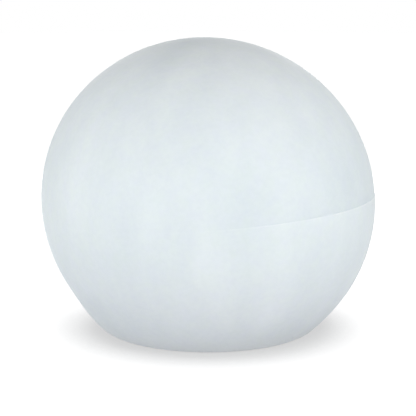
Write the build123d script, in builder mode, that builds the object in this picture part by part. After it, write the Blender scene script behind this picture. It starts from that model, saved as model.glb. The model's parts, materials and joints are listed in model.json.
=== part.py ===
from build123d import *
from math import hypot, radians, sqrt, tan
import os

# A cordless garden globe light, in millimetres. +Z is up and the origin is on the ground,
# in the middle of the foot. The globe is one rotational moulding. A light module goes up
# through a hole in the roof of a recess in its foot and is held there by screws.

# ---------------------------------------------------------------- driving dimensions

# Globe
globe_radius = 250
globe_wall = 3.5
globe_centre_height = 195
foot_edge_radius = 30
parting_lean = 3.7
parting_drop = 3
parting_bead_radius = 1.6
parting_bead_proud = 0.5

# Recess in the foot, which keeps the module clear of the ground
recess_depth = 16
recess_draft = 2.5
recess_mouth_radius = 8
recess_corner_radius = 4
recess_gap = 6.5
module_hole_gap = 1

# Moulded-in nuts and the screws that hold the module
module_screw_count = 6
screw_seat_width = 10
screw_edge_width = 9
insert_radius = 4.5
insert_length = 10
insert_waist_depth = 0.7
insert_boss_wall = 3.5
insert_boss_rounding = 4
module_screw_radius = 2
module_screw_engagement = 7.5
module_screw_head_radius = 3.8
module_screw_head_height = 2.2
module_screw_socket_radius = 1.7

# Module housing: a flanged can with a stepped rim
gasket_thickness = 1.5
flange_thickness = 3
flange_lip_height = 2.5
flange_lip_width = 2.2
housing_wall = 2.5
rim_height = 5.8
post_radius = 3.2
post_inset = 2.8
post_clearance = 1.6
pilot_radius = 1
pilot_depth = 6
rib_thickness = 1.6
rib_height = 4

# Control board and what stands on it
board_length = 56
board_thickness = 1.6
board_corner_radius = 3
board_hole_inset = 4
parts_clearance = 0.4
connector_height = 5
connector_length = 7.5
connector_width = 5
battery_connector_x = 17.5
led_connector_y = -16
coil_size = 6
coil_height = 4
capacitor_radius = 3.2
capacitor_height = 5
controller_size = 7
charger_size = 4.5
chip_height = 1
coil_x = -10
coil_y = 12
capacitor_y = 15.2
charger_x = 11.5
charger_y = 11.5
status_led_size = 1.6
status_led_height = 0.6
small_screw_hole_radius = 1.35
small_screw_length = 6
small_screw_head_radius = 2.4
small_screw_head_height = 1.7
small_screw_socket_radius = 1
screw_head_rounding = 0.5
screw_socket_depth = 0.6
screw_tip_chamfer = 0.3

# Button, its switch and its seal
button_x = 16
button_travel = 1.5
button_cap_radius = 7
button_cap_thickness = 2.8
button_edge_radius = 1.2
button_dish_radius = 5
button_dish_depth = 0.5
button_dish_taper = 45
button_stem_radius = 3
button_collar_wall = 2.2
button_collar_height = 3.5
clip_thickness = 0.8
clip_radius = 4.6
clip_groove_depth = 0.6
clip_mouth = 3
stem_tip_height = 1.2
seal_cord_radius = 0.6
switch_size = 7
switch_height = 5.15
plunger_radius = 1.3
plunger_engagement = 2.5

# Charging socket and its hinged cover
port_x = -16
port_width = 8.94
port_thickness = 3.26
port_shell_wall = 0.3
port_length = 10.5
port_tongue_width = 6.7
port_tongue_thickness = 0.7
port_tongue_inset = 0.8
port_back_wall = 1.5
port_mouth_width = 12.8
port_mouth_height = 7.2
port_land_margin = 2.6
port_land_height = 1.5
cover_thickness = 1.8
cover_overhang = 1.5
cover_corner_radius = 3
cover_grip_radius = 4
cover_edge_radius = 0.5
seal_width = 1.2
seal_thickness = 1
seal_proud = 0.2
hinge_pin_radius = 1
knuckle_radius = 2
knuckle_length = 8
lug_thickness = 3
hinge_pin_overhang = 0.4

# Status light pipe
lens_y = -15
lens_radius = 1.9
lens_flange_radius = 3
lens_flange_height = 1

# Cells and their cradle
cell_radius = 9.2
cell_length = 65
cell_gap = 0.6
cell_terminal_radius = 3
cell_terminal_height = 0.8
cell_crimp_depth = 0.5
cell_crimp_width = 1.2
cell_crimp_inset = 3
contact_thickness = 0.5
contact_height = 8
contact_overlap = 4
contact_tab_width = 4
cradle_plate_thickness = 2.5
cradle_end_wall = 1.8
cradle_clearance = 0.9
cradle_end_rise = 3
cradle_side_wall = 1.2
saddle_thickness = 2
saddle_lead_gap = 5
saddle_drop = 2
cell_pad_thickness = 3
cell_pad_length = 58
cell_pad_width = 32

# Heat spreader, light board and light sources
spreader_thickness = 3
spreader_post_x = 12
led_board_radius = 32
led_board_thickness = 1.6
led_size = 5
led_height = 1.6
led_window_radius = 1.9
led_window_depth = 0.3
inner_ring_radius = 12
inner_ring_count = 8
outer_ring_inset = 7
outer_ring_count = 16
led_screw_count = 3
led_screw_length = 4

# Inner diffuser dome and its clamping ring
dome_wall = 2
dome_flange_thickness = 2
dome_height = 36
dome_flange_width = 2.4
dome_seal_width = 1.2
dome_seal_depth = 1
ring_wall = 2.9
ring_skirt = 7
ring_lip_thickness = 1.5
ring_grip_count = 24
ring_grip_radius = 1.2
ring_grip_depth = 0.7

# Leads
lead_radius = 0.8
lead_hole_radius = 1.8
lead_spacing = 3.2
lead_height = 2.6
battery_lead_setback = 5.5
battery_lead_height = 3.5
led_lead_standoff = 4
led_lead_lap = 3
lead_bend_share = 0.45

# Clearances
fit_clearance = 0.1
moulded_clearance = 0.05
running_clearance = 0.06
loose_clearance = 0.3
hole_clearance = 0.3

# ---------------------------------------------------------------- radii, from the cells outwards

cell_pitch = 2 * cell_radius + cell_gap
cradle_wall_half_width = cell_pitch / 2 + cell_radius + cradle_side_wall
cradle_end_x = cell_length / 2 + contact_thickness + cradle_end_wall
can_inner_radius = hypot(cradle_end_x, cradle_wall_half_width) + cradle_clearance
can_radius = can_inner_radius + housing_wall
rim_inner_radius = can_radius
rim_radius = rim_inner_radius + housing_wall
cradle_radius = can_inner_radius - 2 * loose_clearance
spreader_radius = rim_inner_radius - loose_clearance
dome_radius = rim_radius - dome_flange_width
ring_inner_radius = rim_radius + fit_clearance
ring_outer_radius = ring_inner_radius + ring_wall
module_hole_radius = ring_outer_radius + module_hole_gap
module_screw_circle_radius = module_hole_radius + screw_seat_width
flange_radius = module_screw_circle_radius + screw_edge_width
recess_roof_radius = flange_radius + recess_gap
recess_radius = recess_roof_radius + recess_draft

# ---------------------------------------------------------------- levels, from the recess upwards

roof_level = recess_depth
gasket_level = roof_level - gasket_thickness
flange_level = gasket_level - flange_thickness
floor_level = flange_level + housing_wall
button_rest_level = flange_level - button_travel - loose_clearance
clip_level = floor_level + moulded_clearance
stem_top = clip_level + clip_thickness + stem_tip_height
switch_level = stem_top + button_travel + loose_clearance
board_level = switch_level + switch_height
board_top = board_level + board_thickness
cradle_level = board_top + max(connector_height, capacitor_height, coil_height) + parts_clearance
cradle_top = cradle_level + cradle_plate_thickness
cell_axis_level = cradle_top + cell_radius
cell_top = cell_axis_level + cell_radius
ledge_level = cell_top + cell_pad_thickness
spreader_top = ledge_level + spreader_thickness
led_board_top = spreader_top + led_board_thickness
rim_level = ledge_level + rim_height
dome_flange_top = rim_level + dome_flange_thickness
dome_top = dome_flange_top + dome_height
insert_top = roof_level + insert_length
insert_boss_top = insert_top + insert_boss_wall
land_level = flange_level - port_land_height
cover_top = land_level - loose_clearance
hinge_level = cover_top - cover_thickness / 2

# ---------------------------------------------------------------- places and fitted sizes

post_circle_radius = can_inner_radius - post_inset
cradle_post_offset = post_circle_radius / sqrt(2)
spreader_post_y = sqrt(post_circle_radius**2 - spreader_post_x**2)
cradle_half_width = spreader_post_y - post_radius - post_clearance
board_width = 2 * (cradle_post_offset - post_radius - post_clearance)
board_hole_x = board_length / 2 - board_hole_inset
board_hole_y = board_width / 2 - board_hole_inset
standoff_places = [(x, y) for x in (-board_hole_x, board_hole_x) for y in (-board_hole_y, board_hole_y)]
cradle_places = [(x, y) for x in (-cradle_post_offset, cradle_post_offset)
                 for y in (-cradle_post_offset, cradle_post_offset)]
spreader_places = [(x, y) for x in (-spreader_post_x, spreader_post_x)
                   for y in (-spreader_post_y, spreader_post_y)]
cell_places = [-cell_pitch / 2, cell_pitch / 2]
battery_lead_x = cell_length / 2 - battery_lead_setback
saddle_pitch = battery_lead_x - saddle_lead_gap
contact_tab_length = cell_radius - battery_lead_height + 2 * lead_radius
outer_ring_radius = led_board_radius - outer_ring_inset
led_screw_circle_radius = (inner_ring_radius + outer_ring_radius) / 2
led_lead_y = -max(led_board_radius, cradle_half_width) - led_lead_standoff
led_lead_end_y = -led_board_radius + led_lead_lap
button_bore_radius = button_stem_radius + running_clearance
module_screw_length = flange_thickness + gasket_thickness + module_screw_engagement
land_width = port_mouth_width + 2 * port_land_margin
land_height = port_mouth_height + 2 * port_land_margin
cover_width = land_width + 2 * cover_overhang
cover_height = land_height + 2 * cover_overhang
hinge_y = cover_height / 2 + knuckle_radius + loose_clearance
seal_inset = (port_land_margin - seal_width) / 2

parting_plane = Plane.XY.offset(globe_centre_height - parting_drop).rotated((0, -parting_lean, 0))

finished = {}


def finish(part, name):
    """Label a finished piece and note it for writing."""
    part.label = name
    finished[name] = part


def socket_screw(radius, length, head_radius, head_height, socket_radius):
    """A rounded-head screw with a hexagon socket, its head above the XY plane and its shank below."""
    with BuildPart() as screw:
        with BuildSketch():
            Circle(head_radius)
        extrude(amount=head_height)
        fillet(screw.edges().sort_by(Axis.Z)[-1], head_height * screw_head_rounding)
        with BuildSketch():
            Circle(radius)
        extrude(amount=-length)
        chamfer(screw.edges().sort_by(Axis.Z)[0], radius * screw_tip_chamfer)
        with BuildSketch(Plane.XY.offset(head_height)):
            RegularPolygon(radius=socket_radius, side_count=6)
        extrude(amount=-head_height * screw_socket_depth, mode=Mode.SUBTRACT)
    return screw.part


# ---------------------------------------------------------------- globe

# The outside and the inside of the skin are the same half section, the inside one moved in
# by the wall: sphere, rounded edge, flat foot, rounded mouth, tapering recess and its roof.
with BuildPart() as globe_shell:
    for inset, mode in ((0, Mode.ADD), (globe_wall, Mode.SUBTRACT)):
        radius = globe_radius - inset
        foot_radius = sqrt(radius**2 - (globe_centre_height - inset) ** 2)
        mouth = (recess_radius + inset, inset)
        corner = (recess_roof_radius + inset, recess_depth + inset)
        rim = (foot_radius, inset)
        with BuildSketch(Plane.XZ) as section:
            with BuildLine():
                ThreePointArc((0, globe_centre_height + radius),
                              (radius, globe_centre_height), rim)
                Polyline(rim, mouth, corner, (0, recess_depth + inset), (0, globe_centre_height + radius))
            make_face()
            fillet(section.vertices().sort_by_distance(rim)[0], foot_edge_radius - inset)
            fillet(section.vertices().sort_by_distance(mouth)[0], recess_mouth_radius - inset)
            fillet(section.vertices().sort_by_distance(corner)[0], recess_corner_radius + inset)
        revolve(axis=Axis.Z, mode=mode)
    # Parting line of the mould, a low bead that leans with the mould's split
    with Locations(parting_plane):
        Torus(globe_radius + parting_bead_proud - parting_bead_radius, parting_bead_radius)
    # Bosses round the moulded-in nuts
    with BuildSketch(Plane.XY.offset(roof_level)):
        with PolarLocations(module_screw_circle_radius, module_screw_count):
            Circle(insert_radius + insert_boss_wall)
    extrude(amount=insert_length + insert_boss_wall)
    boss_tops = globe_shell.edges().filter_by_position(Axis.Z, insert_boss_top, insert_boss_top)
    fillet(boss_tops, insert_boss_rounding)
    with BuildSketch(Plane.XY.offset(roof_level)):
        with PolarLocations(module_screw_circle_radius, module_screw_count):
            Circle(insert_radius + moulded_clearance)
    extrude(amount=insert_length, mode=Mode.SUBTRACT)
    with BuildSketch(Plane.XY.offset(roof_level)):
        Circle(module_hole_radius)
    extrude(amount=globe_wall, mode=Mode.SUBTRACT)
finish(globe_shell.part, "globe_shell")

# Brass nut with a waist that locks it in the moulding
with BuildPart() as insert_nut:
    with BuildSketch():
        Circle(insert_radius)
        Circle(module_screw_radius + fit_clearance, mode=Mode.SUBTRACT)
    extrude(amount=insert_length - insert_waist_depth)
    with BuildSketch(Plane.XY.offset(insert_length - insert_waist_depth)):
        Circle(insert_radius)
    extrude(amount=insert_waist_depth)
    with BuildSketch(Plane.XY.offset(insert_length / 3)):
        Circle(insert_radius)
        Circle(insert_radius - insert_waist_depth, mode=Mode.SUBTRACT)
    extrude(amount=insert_length / 3, mode=Mode.SUBTRACT)

with BuildPart() as insert_nuts:
    with Locations(Plane.XY.offset(roof_level)):
        with PolarLocations(module_screw_circle_radius, module_screw_count):
            add(insert_nut.part)
finish(insert_nuts.part, "insert_nuts")

# ---------------------------------------------------------------- module housing

with BuildPart() as module_gasket:
    with BuildSketch(Plane.XY.offset(gasket_level)):
        Circle(flange_radius)
        Circle(module_hole_radius, mode=Mode.SUBTRACT)
        with PolarLocations(module_screw_circle_radius, module_screw_count):
            Circle(module_screw_radius + hole_clearance, mode=Mode.SUBTRACT)
    extrude(amount=gasket_thickness)
finish(module_gasket.part, "module_gasket")

with BuildPart() as module_housing:
    # Flange, floor and stepped can in one half section
    with BuildSketch(Plane.XZ):
        with BuildLine():
            Polyline(
                (0, flange_level),
                (flange_radius - flange_lip_width, flange_level),
                (flange_radius - flange_lip_width, flange_level - flange_lip_height),
                (flange_radius, flange_level - flange_lip_height),
                (flange_radius, gasket_level),
                (can_radius, gasket_level),
                (can_radius, ledge_level - housing_wall),
                (rim_radius, ledge_level - housing_wall),
                (rim_radius, rim_level),
                (rim_inner_radius, rim_level),
                (rim_inner_radius, ledge_level),
                (can_inner_radius, ledge_level),
                (can_inner_radius, floor_level),
                (0, floor_level),
                close=True,
            )
        make_face()
    revolve(axis=Axis.Z)
    # Posts for the board, the cradle and the heat spreader
    for places, level in (
        (standoff_places, board_level),
        (cradle_places, cradle_level),
        (spreader_places, ledge_level),
    ):
        with BuildSketch(Plane.XY.offset(floor_level)):
            with Locations(*places):
                Circle(post_radius)
        extrude(amount=level - floor_level)
    # Low ribs that stiffen the floor between opposite cradle posts
    with BuildSketch(Plane.XY.offset(floor_level)):
        for turn in (45, 135):
            Rectangle(2 * sqrt(2) * cradle_post_offset, rib_thickness, rotation=turn)
    extrude(amount=rib_height)
    for places, level in (
        (standoff_places, board_level),
        (cradle_places, cradle_level),
        (spreader_places, ledge_level),
    ):
        with BuildSketch(Plane.XY.offset(level)):
            with Locations(*places):
                Circle(pilot_radius)
        extrude(amount=-pilot_depth, mode=Mode.SUBTRACT)
    # Collar that guards the button
    with BuildSketch(Plane.XY.offset(flange_level)):
        with Locations((button_x, 0)):
            Circle(button_cap_radius + loose_clearance + button_collar_wall)
            Circle(button_cap_radius + loose_clearance, mode=Mode.SUBTRACT)
    extrude(amount=-button_collar_height)
    # Land round the charging socket, and the mouth that a plug goes into
    with BuildSketch(Plane.XY.offset(flange_level)):
        with Locations((port_x, 0)):
            RectangleRounded(land_width, land_height, cover_corner_radius)
    extrude(amount=-port_land_height)
    with BuildSketch(Plane.XY.offset(land_level)):
        with Locations((port_x, 0)):
            RectangleRounded(port_mouth_width, port_mouth_height, cover_corner_radius)
    extrude(amount=floor_level - land_level, mode=Mode.SUBTRACT)
    # Lugs of the cover's hinge
    for side in (-1, 1):
        lug_x = port_x + side * (knuckle_length / 2 + loose_clearance)
        with BuildSketch(Plane.YZ.offset(lug_x)):
            with Locations((hinge_y, hinge_level)):
                Circle(knuckle_radius)
                Rectangle(2 * knuckle_radius, flange_level - hinge_level,
                          align=(Align.CENTER, Align.MIN))
                Circle(hinge_pin_radius + moulded_clearance / 2, mode=Mode.SUBTRACT)
        extrude(amount=side * lug_thickness)
    # Screw holes in the flange
    with BuildSketch(Plane.XY.offset(flange_level)):
        with PolarLocations(module_screw_circle_radius, module_screw_count):
            Circle(module_screw_radius + hole_clearance)
    extrude(amount=flange_thickness, mode=Mode.SUBTRACT)
    # Bores for the button's stem and the light pipe
    with BuildSketch(Plane.XY.offset(flange_level)):
        with Locations((button_x, 0)):
            Circle(button_bore_radius)
        with Locations((0, lens_y)):
            Circle(lens_radius + moulded_clearance)
    extrude(amount=housing_wall, mode=Mode.SUBTRACT)
    # Groove for the O-ring, half way up the button's bore
    with BuildSketch(Plane.XY.offset((flange_level + floor_level) / 2 - seal_cord_radius)):
        with Locations((button_x, 0)):
            Circle(button_stem_radius + 2 * seal_cord_radius + 2 * moulded_clearance)
    extrude(amount=2 * seal_cord_radius, mode=Mode.SUBTRACT)
    # Groove for the dome's seal in the rim
    with BuildSketch(Plane.XY.offset(rim_level)):
        Circle(rim_radius - (housing_wall - dome_seal_width) / 2)
        Circle(rim_inner_radius + (housing_wall - dome_seal_width) / 2, mode=Mode.SUBTRACT)
    extrude(amount=-dome_seal_depth, mode=Mode.SUBTRACT)
finish(module_housing.part, "module_housing")

module_screw = socket_screw(module_screw_radius, module_screw_length, module_screw_head_radius,
                            module_screw_head_height, module_screw_socket_radius)
with BuildPart() as module_screws:
    with Locations(Plane.XY.offset(flange_level)):
        with PolarLocations(module_screw_circle_radius, module_screw_count):
            add(module_screw, rotation=(180, 0, 0))
finish(module_screws.part, "module_screws")

# ---------------------------------------------------------------- control board

with BuildPart() as control_board:
    with BuildSketch(Plane.XY.offset(board_level)):
        RectangleRounded(board_length, board_width, board_corner_radius)
        with Locations(*standoff_places):
            Circle(small_screw_hole_radius, mode=Mode.SUBTRACT)
    extrude(amount=board_thickness)
finish(control_board.part, "control_board")

with BuildPart() as control_parts:
    # Connectors for the leads of the cells and of the light board
    with BuildSketch(Plane.XY.offset(board_top)):
        with Locations((-battery_connector_x, 0), (battery_connector_x, 0)):
            Rectangle(connector_width, connector_length)
        with Locations((0, led_connector_y)):
            Rectangle(connector_length, connector_width)
    extrude(amount=connector_height)
    # Controller and charger chips
    with BuildSketch(Plane.XY.offset(board_top)):
        Rectangle(controller_size, controller_size)
        with Locations((charger_x, charger_y)):
            Rectangle(charger_size, charger_size)
    extrude(amount=chip_height)
    # Coil and capacitor
    with BuildSketch(Plane.XY.offset(board_top)):
        with Locations((coil_x, coil_y)):
            RectangleRounded(coil_size, coil_size, coil_size / 5)
    extrude(amount=coil_height)
    with BuildSketch(Plane.XY.offset(board_top)):
        with Locations((0, capacitor_y)):
            Circle(capacitor_radius)
    extrude(amount=capacitor_height)
    # Status lamp under the board, over the light pipe
    with BuildSketch(Plane.XY.offset(board_level)):
        with Locations((0, lens_y)):
            Rectangle(status_led_size, status_led_size)
    extrude(amount=-status_led_height)
finish(control_parts.part, "control_parts")

small_screw = socket_screw(pilot_radius - moulded_clearance, small_screw_length,
                           small_screw_head_radius, small_screw_head_height,
                           small_screw_socket_radius)
with BuildPart() as board_screws:
    with Locations(*[(x, y, board_top) for x, y in standoff_places]):
        add(small_screw)
finish(board_screws.part, "board_screws")

# ---------------------------------------------------------------- button and switch

# The switch body has a bore that its plunger goes up into
with BuildPart() as push_switch:
    with BuildSketch(Plane.XY.offset(switch_level)):
        with Locations((button_x, 0)):
            Rectangle(switch_size, switch_size)
    extrude(amount=board_level - switch_level)
    with BuildSketch(Plane.XY.offset(switch_level)):
        with Locations((button_x, 0)):
            Circle(plunger_radius + fit_clearance)
    extrude(amount=plunger_engagement + button_travel + loose_clearance, mode=Mode.SUBTRACT)
finish(push_switch.part, "push_switch")

with BuildPart() as switch_plunger:
    with BuildSketch(Plane.XY.offset(stem_top)):
        with Locations((button_x, 0)):
            Circle(plunger_radius)
    extrude(amount=switch_level + plunger_engagement - stem_top)
finish(switch_plunger.part, "switch_plunger")

with BuildPart() as power_button:
    with BuildSketch(Plane.XY.offset(button_rest_level)):
        with Locations((button_x, 0)):
            Circle(button_cap_radius)
    extrude(amount=-button_cap_thickness)
    fillet(power_button.edges().sort_by(Axis.Z)[0], button_edge_radius)
    # Shallow dish for the fingertip
    with BuildSketch(Plane.XY.offset(button_rest_level - button_cap_thickness)):
        with Locations((button_x, 0)):
            Circle(button_dish_radius)
    extrude(amount=button_dish_depth, taper=button_dish_taper, mode=Mode.SUBTRACT)
    with BuildSketch(Plane.XY.offset(button_rest_level)):
        with Locations((button_x, 0)):
            Circle(button_stem_radius)
    extrude(amount=stem_top - button_rest_level)
    # Groove for the retaining clip
    with BuildSketch(Plane.XY.offset(clip_level)):
        with Locations((button_x, 0)):
            Circle(button_stem_radius)
            Circle(button_stem_radius - clip_groove_depth, mode=Mode.SUBTRACT)
    extrude(amount=clip_thickness, mode=Mode.SUBTRACT)
finish(power_button.part, "power_button")

with BuildPart() as button_clip:
    with BuildSketch(Plane.XY.offset(clip_level)):
        with Locations((button_x, 0)):
            Circle(clip_radius)
            Circle(button_stem_radius - clip_groove_depth + moulded_clearance, mode=Mode.SUBTRACT)
        with Locations((button_x + clip_radius, 0)):
            Rectangle(2 * clip_radius, clip_mouth, mode=Mode.SUBTRACT)
    extrude(amount=clip_thickness)
finish(button_clip.part, "button_clip")

with BuildPart() as button_seal:
    with Locations((button_x, 0, (flange_level + floor_level) / 2)):
        Torus(button_stem_radius + moulded_clearance + seal_cord_radius, seal_cord_radius)
finish(button_seal.part, "button_seal")

# ---------------------------------------------------------------- charging socket and cover

with BuildPart() as charging_port:
    with BuildSketch(Plane.XY.offset(board_level)):
        with Locations((port_x, 0)):
            SlotOverall(port_width, port_thickness)
    extrude(amount=-port_length)
    with BuildSketch(Plane.XY.offset(board_level - port_back_wall)):
        with Locations((port_x, 0)):
            SlotOverall(port_width - 2 * port_shell_wall, port_thickness - 2 * port_shell_wall)
            Rectangle(port_tongue_width, port_tongue_thickness, mode=Mode.SUBTRACT)
    extrude(amount=-(port_length - port_back_wall), mode=Mode.SUBTRACT)
    with BuildSketch(Plane.XY.offset(board_level - port_length)):
        with Locations((port_x, 0)):
            Rectangle(port_tongue_width, port_tongue_thickness)
    extrude(amount=port_tongue_inset, mode=Mode.SUBTRACT)
finish(charging_port.part, "charging_port")

with BuildPart() as port_cover:
    # Plate with a half-round grip at its free edge
    with BuildSketch(Plane.XY.offset(cover_top)):
        with Locations((port_x, 0)):
            RectangleRounded(cover_width, cover_height, cover_corner_radius)
        with Locations((port_x, -cover_height / 2)):
            Circle(cover_grip_radius)
    extrude(amount=-cover_thickness)
    # Softened underside edge
    fillet(port_cover.faces().sort_by(Axis.Z)[0].edges(), cover_edge_radius)
    # Neck and knuckle of the hinge
    with BuildSketch(Plane.XY.offset(cover_top)):
        with Locations((port_x, cover_height / 2 - cover_corner_radius)):
            Rectangle(knuckle_length, hinge_y - cover_height / 2 + cover_corner_radius,
                      align=(Align.CENTER, Align.MIN))
    extrude(amount=-cover_thickness)
    with BuildSketch(Plane.YZ.offset(port_x)):
        with Locations((hinge_y, hinge_level)):
            Circle(knuckle_radius)
    extrude(amount=knuckle_length / 2, both=True)
    with BuildSketch(Plane.YZ.offset(port_x)):
        with Locations((hinge_y, hinge_level)):
            Circle(hinge_pin_radius + running_clearance)
    extrude(amount=knuckle_length / 2, both=True, mode=Mode.SUBTRACT)
    # Groove for the seal
    with BuildSketch(Plane.XY.offset(cover_top)):
        with Locations((port_x, 0)):
            RectangleRounded(land_width - 2 * seal_inset, land_height - 2 * seal_inset,
                             cover_corner_radius)
            RectangleRounded(land_width - 2 * seal_inset - 2 * seal_width,
                             land_height - 2 * seal_inset - 2 * seal_width,
                             cover_corner_radius - seal_width, mode=Mode.SUBTRACT)
    extrude(amount=-(seal_thickness - seal_proud), mode=Mode.SUBTRACT)
finish(port_cover.part, "port_cover")

with BuildPart() as port_seal:
    with BuildSketch(Plane.XY.offset(cover_top + seal_proud)):
        with Locations((port_x, 0)):
            RectangleRounded(land_width - 2 * seal_inset, land_height - 2 * seal_inset,
                             cover_corner_radius)
            RectangleRounded(land_width - 2 * seal_inset - 2 * seal_width,
                             land_height - 2 * seal_inset - 2 * seal_width,
                             cover_corner_radius - seal_width, mode=Mode.SUBTRACT)
    extrude(amount=-seal_thickness)
finish(port_seal.part, "port_seal")

with BuildPart() as hinge_pin:
    with BuildSketch(Plane.YZ.offset(port_x)):
        with Locations((hinge_y, hinge_level)):
            Circle(hinge_pin_radius)
    extrude(amount=knuckle_length / 2 + loose_clearance + lug_thickness + hinge_pin_overhang, both=True)
    chamfer(hinge_pin.edges().filter_by(GeomType.CIRCLE), hinge_pin_radius * screw_tip_chamfer)
finish(hinge_pin.part, "hinge_pin")

with BuildPart() as indicator_lens:
    for radius, bottom, top in (
        (lens_radius, flange_level, board_level - status_led_height - loose_clearance),
        (lens_flange_radius, floor_level, floor_level + lens_flange_height),
    ):
        with BuildSketch(Plane.XY.offset(bottom)):
            with Locations((0, lens_y)):
                Circle(radius)
        extrude(amount=top - bottom)
finish(indicator_lens.part, "indicator_lens")

# ---------------------------------------------------------------- cells

with BuildPart() as battery_cradle:
    with BuildSketch(Plane.XY.offset(cradle_level)):
        Circle(cradle_radius)
        Rectangle(2 * cradle_radius, 2 * cradle_half_width, mode=Mode.INTERSECT)
        with Locations(*cradle_places):
            Circle(small_screw_hole_radius, mode=Mode.SUBTRACT)
        with Locations((-battery_lead_x, 0), (battery_lead_x, 0)):
            Circle(lead_hole_radius, mode=Mode.SUBTRACT)
    extrude(amount=cradle_plate_thickness)
    # End walls behind the contacts
    with BuildSketch(Plane.XY.offset(cradle_top)):
        for side, edge in ((-1, Align.MIN), (1, Align.MAX)):
            with Locations((side * cradle_end_x, 0)):
                Rectangle(cradle_end_wall, 2 * cradle_wall_half_width, align=(edge, Align.CENTER))
    extrude(amount=cell_radius + cradle_end_rise)
    # Saddles, hollowed to the cells
    with BuildSketch(Plane.XY.offset(cradle_top)):
        with Locations((-saddle_pitch, 0), (0, 0), (saddle_pitch, 0)):
            Rectangle(saddle_thickness, 2 * cradle_wall_half_width)
    extrude(amount=cell_radius - saddle_drop)
    with BuildSketch(Plane.YZ):
        with Locations(*[(y, cell_axis_level) for y in cell_places]):
            Circle(cell_radius)
    extrude(amount=cell_length / 2, both=True, mode=Mode.SUBTRACT)
finish(battery_cradle.part, "battery_cradle")

with BuildPart() as cradle_screws:
    with Locations(*[(x, y, cradle_top) for x, y in cradle_places]):
        add(small_screw)
finish(cradle_screws.part, "cradle_screws")

# A round cell along X with a raised terminal and a crimped groove near it
with BuildPart() as cell:
    crimp_x = cell_length / 2 - cell_terminal_height - cell_crimp_inset
    with BuildSketch(Plane.YZ.offset(-cell_length / 2)):
        Circle(cell_radius)
    extrude(amount=cell_length - cell_terminal_height)
    with BuildSketch(Plane.YZ.offset(cell_length / 2 - cell_terminal_height)):
        Circle(cell_terminal_radius)
    extrude(amount=cell_terminal_height)
    with BuildSketch(Plane.YZ.offset(crimp_x)):
        Circle(cell_radius)
        Circle(cell_radius - cell_crimp_depth, mode=Mode.SUBTRACT)
    extrude(amount=-cell_crimp_width, mode=Mode.SUBTRACT)

with BuildPart() as battery_cells:
    with Locations((0, cell_places[0], cell_axis_level)):
        add(cell.part)
    with Locations((0, cell_places[1], cell_axis_level)):
        add(cell.part, rotation=(0, 0, 180))
finish(battery_cells.part, "battery_cells")

# One strip across the cells at each end, with a tab down between them for its lead
with BuildPart() as battery_contacts:
    for side in (-1, 1):
        with BuildSketch(Plane.YZ.offset(side * cell_length / 2)):
            with Locations((0, cell_axis_level)):
                RectangleRounded(cell_pitch + 2 * contact_overlap, contact_height, contact_height / 4)
                Rectangle(contact_tab_width, contact_tab_length, align=(Align.CENTER, Align.MAX))
        extrude(amount=side * contact_thickness)
finish(battery_contacts.part, "battery_contacts")


def lead(*points):
    """A round lead along straight runs whose corners are as wide as the runs allow."""
    corners = [Vector(*point) for point in points]
    radii = []
    for before, corner, after in zip(corners, corners[1:], corners[2:]):
        shorter = min((corner - before).length, (after - corner).length)
        turn = (corner - before).get_angle(after - corner)
        radii.append(lead_bend_share * shorter / tan(radians(turn / 2)))
    with BuildPart() as wire:
        with BuildLine() as route:
            FilletPolyline(*corners, radius=radii)
        with BuildSketch(Plane(origin=route.line @ 0, z_dir=route.line % 0)):
            Circle(lead_radius)
        sweep()
    return wire.part


lead_level = board_top + lead_height
with BuildPart() as battery_leads:
    for side in (-1, 1):
        add(lead(
            (side * cell_length / 2, 0, cradle_top + battery_lead_height),
            (side * battery_lead_x, 0, cradle_top + battery_lead_height),
            (side * battery_lead_x, 0, lead_level),
            (side * (battery_connector_x + connector_width / 2), 0, lead_level),
        ))
finish(battery_leads.part, "battery_leads")

with BuildPart() as cell_pad:
    with BuildSketch(Plane.XY.offset(cell_top)):
        RectangleRounded(cell_pad_length, cell_pad_width, board_corner_radius)
    extrude(amount=cell_pad_thickness)
finish(cell_pad.part, "cell_pad")

# ---------------------------------------------------------------- light sources

with BuildPart() as heat_spreader:
    with BuildSketch(Plane.XY.offset(ledge_level)):
        Circle(spreader_radius)
        with Locations(*spreader_places):
            Circle(small_screw_hole_radius, mode=Mode.SUBTRACT)
        with Locations((0, led_lead_y)):
            Circle(lead_spacing / 2 + lead_hole_radius, mode=Mode.SUBTRACT)
        with PolarLocations(led_screw_circle_radius, led_screw_count):
            Circle(pilot_radius, mode=Mode.SUBTRACT)
    extrude(amount=spreader_thickness)
finish(heat_spreader.part, "heat_spreader")

with BuildPart() as spreader_screws:
    with Locations(*[(x, y, spreader_top) for x, y in spreader_places]):
        add(small_screw)
finish(spreader_screws.part, "spreader_screws")

with BuildPart() as led_board:
    with BuildSketch(Plane.XY.offset(spreader_top)):
        Circle(led_board_radius)
        with PolarLocations(led_screw_circle_radius, led_screw_count):
            Circle(small_screw_hole_radius, mode=Mode.SUBTRACT)
    extrude(amount=led_board_thickness)
finish(led_board.part, "led_board")

led_screw = socket_screw(pilot_radius - moulded_clearance, led_screw_length,
                         small_screw_head_radius, small_screw_head_height,
                         small_screw_socket_radius)
with BuildPart() as led_board_screws:
    with Locations(Plane.XY.offset(led_board_top)):
        with PolarLocations(led_screw_circle_radius, led_screw_count):
            add(led_screw)
finish(led_board_screws.part, "led_board_screws")

# Two rings of square light sources, each with a shallow round window
with BuildPart() as led_chips:
    with BuildSketch(Plane.XY.offset(led_board_top)):
        for ring_radius, count in ((inner_ring_radius, inner_ring_count), (outer_ring_radius, outer_ring_count)):
            with PolarLocations(ring_radius, count):
                Rectangle(led_size, led_size)
    extrude(amount=led_height)
    with BuildSketch(Plane.XY.offset(led_board_top + led_height)):
        for ring_radius, count in ((inner_ring_radius, inner_ring_count), (outer_ring_radius, outer_ring_count)):
            with PolarLocations(ring_radius, count):
                Circle(led_window_radius)
    extrude(amount=-led_window_depth, mode=Mode.SUBTRACT)
finish(led_chips.part, "led_chips")

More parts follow.
